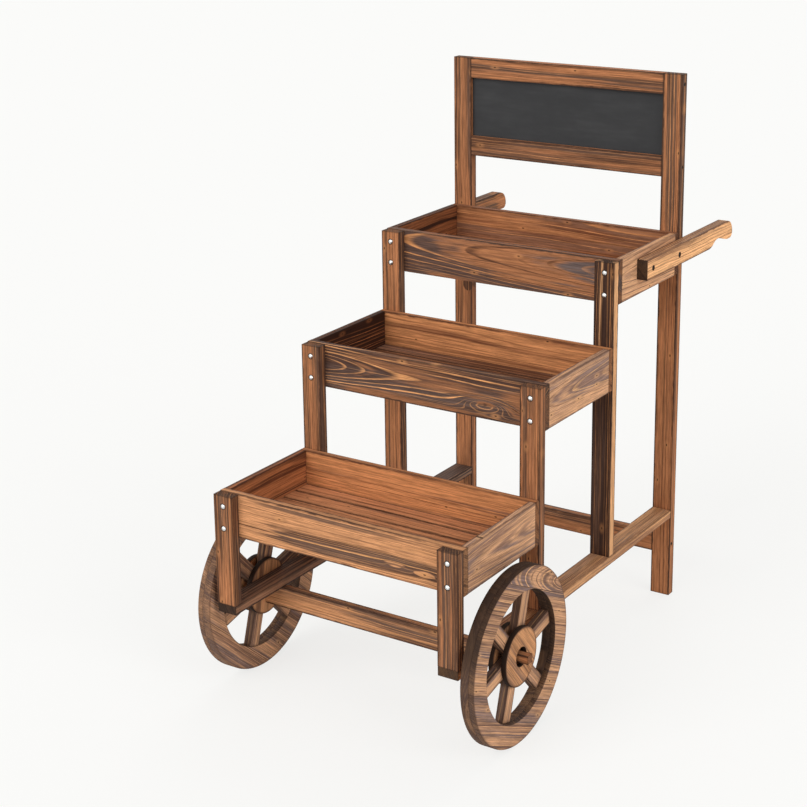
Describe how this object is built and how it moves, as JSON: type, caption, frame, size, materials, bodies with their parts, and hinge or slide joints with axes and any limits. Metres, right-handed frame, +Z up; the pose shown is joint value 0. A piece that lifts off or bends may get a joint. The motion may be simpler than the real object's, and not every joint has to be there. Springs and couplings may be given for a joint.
{
  "type": "flower cart stand",
  "caption": "Stepped wooden plant stand with open slatted trays, a chalkboard headboard, push handles and free-turning spoked wheels.",
  "frame": {"origin": "on the floor, below the middle of the whole cart's box", "axes": "+Z up from the floor, +X across the cart to its right as seen from the front, +Y to the rear, where the handles point"},
  "size_m": [0.5842, 0.9906, 1.016],
  "materials": {
    "post_wood": "charred and brushed softwood, matt",
    "rail_wood": "charred and brushed softwood, matt",
    "axle_end_wood": "charred and brushed softwood, matt",
    "handle_wood": "charred and brushed softwood, matt",
    "board_frame_wood": "charred and brushed softwood, matt",
    "front_panel_wood": "charred and brushed softwood, matt",
    "rear_panel_wood": "charred and brushed softwood, matt",
    "side_panel_wood": "charred and brushed softwood, matt",
    "slat_wood": "charred and brushed softwood, matt",
    "rim_wood": "charred and brushed softwood, matt",
    "spoke_wood": "charred and brushed softwood, matt",
    "hub_wood": "charred and brushed softwood, matt",
    "chalkboard": "matt chalkboard face",
    "bright_screw": "bright zinc, polished",
    "dark_screw": "dark coated steel"
  },
  "bodies": {
    "frame": {"rear_post_left": "post_wood", "rear_post_right": "post_wood", "front_leg_left": "post_wood", "front_leg_right": "post_wood", "middle_post_left": "post_wood", "middle_post_right": "post_wood", "upper_post_left": "post_wood", "upper_post_right": "post_wood", "side_rail_left": "rail_wood", "side_rail_right": "rail_wood", "rear_crossbar": "rail_wood", "axle_beam": "rail_wood", "axle_ends": "axle_end_wood", "handle_left": "handle_wood", "handle_right": "handle_wood", "chalkboard": "chalkboard", "board_top_rail": "board_frame_wood", "board_bottom_rail": "board_frame_wood", "bottom_front_panel": "front_panel_wood", "bottom_rear_panel": "rear_panel_wood", "bottom_left_panel": "side_panel_wood", "bottom_right_panel": "side_panel_wood", "bottom_slats": "slat_wood", "bottom_cleats": "slat_wood", "middle_front_panel": "front_panel_wood", "middle_rear_panel": "rear_panel_wood", "middle_left_panel": "side_panel_wood", "middle_right_panel": "side_panel_wood", "middle_slats": "slat_wood", "middle_cleats": "slat_wood", "top_front_panel": "front_panel_wood", "top_rear_panel": "rear_panel_wood", "top_left_panel": "side_panel_wood", "top_right_panel": "side_panel_wood", "top_slats": "slat_wood", "top_cleats": "slat_wood", "post_screws": "bright_screw", "handle_screws": "dark_screw", "side_screws": "dark_screw"},
    "wheel_left": {"left_rim_inner": "rim_wood", "left_rim_outer": "rim_wood", "left_spokes": "spoke_wood", "left_hub_inner": "hub_wood", "left_hub_outer": "hub_wood"},
    "wheel_right": {"right_rim_inner": "rim_wood", "right_rim_outer": "rim_wood", "right_spokes": "spoke_wood", "right_hub_inner": "hub_wood", "right_hub_outer": "hub_wood"}
  },
  "joints": [
    {"name": "wheel_left_spin", "type": "hinge", "parent": "frame", "child": "wheel_left", "pos_m": [-0.2474, -0.3429, 0.1524], "axis": [1, 0, 0], "continuous": true},
    {"name": "wheel_right_spin", "type": "hinge", "parent": "frame", "child": "wheel_right", "pos_m": [0.2474, -0.3429, 0.1524], "axis": [1, 0, 0], "continuous": true}
  ]
}
